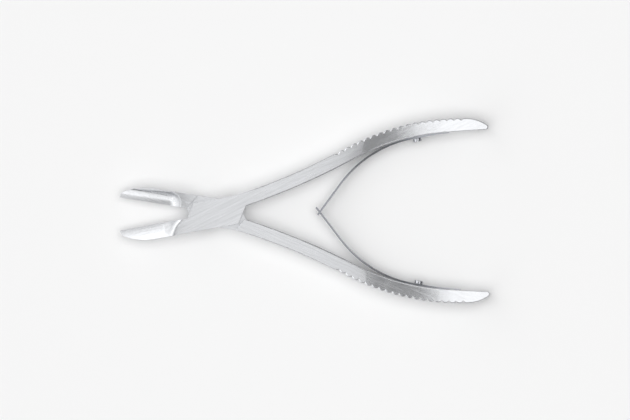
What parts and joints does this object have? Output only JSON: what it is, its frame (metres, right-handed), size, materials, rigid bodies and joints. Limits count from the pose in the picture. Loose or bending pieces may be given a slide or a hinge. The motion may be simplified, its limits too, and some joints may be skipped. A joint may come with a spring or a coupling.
{
  "type": "bone cutting forceps",
  "caption": "Two crossed steel levers on a lap joint with hollow ground cutting jaws, serrated grips and a pair of interlocking leaf springs that hold them open.",
  "frame": {"origin": "on the pivot axis, at the surface that the back of the joint lies on", "axes": "+X from the pivot towards the handles, +Y towards the handle of the front lever, +Z along the pivot towards the front of the joint"},
  "size_m": [0.1398, 0.07, 0.0076],
  "materials": {
    "lever_steel": "satin",
    "spring_steel": "polished",
    "screw_steel": "polished"
  },
  "bodies": {
    "front_half": {"front_lever": "lever_steel", "pivot_screw": "screw_steel", "upper_spring_screw": "screw_steel"},
    "rear_half": {"rear_lever": "lever_steel", "lower_spring_screw": "screw_steel"},
    "upper_leaf": {"upper_spring": "spring_steel"},
    "lower_leaf": {"lower_spring": "spring_steel"}
  },
  "joints": [
    {"name": "lever_pivot", "type": "hinge", "parent": "front_half", "child": "rear_half", "pos_m": [0, 0, 0.0038], "axis": [0, 0, 1], "range_deg": [0, 19.5], "stiffness_Nm_per_rad": 0.4, "deforming": ["upper_spring", "lower_spring"]},
    {"name": "upper_leaf_bend", "type": "hinge", "parent": "front_half", "child": "upper_leaf", "pos_m": [0.06535, 0.02483, 0.0038], "axis": [0, 0, 1], "range_deg": [-12.3, 0], "deforming": ["upper_spring"]},
    {"name": "lower_leaf_bend", "type": "hinge", "parent": "rear_half", "child": "lower_leaf", "pos_m": [0.06535, -0.02483, 0.0038], "axis": [0, 0, 1], "range_deg": [0, 12.3], "deforming": ["lower_spring"]}
  ],
  "couplings": [
    {"joint": "upper_leaf_bend", "follows": "lever_pivot", "ratio": -0.6124},
    {"joint": "lower_leaf_bend", "follows": "lever_pivot", "ratio": 0.6124}
  ]
}
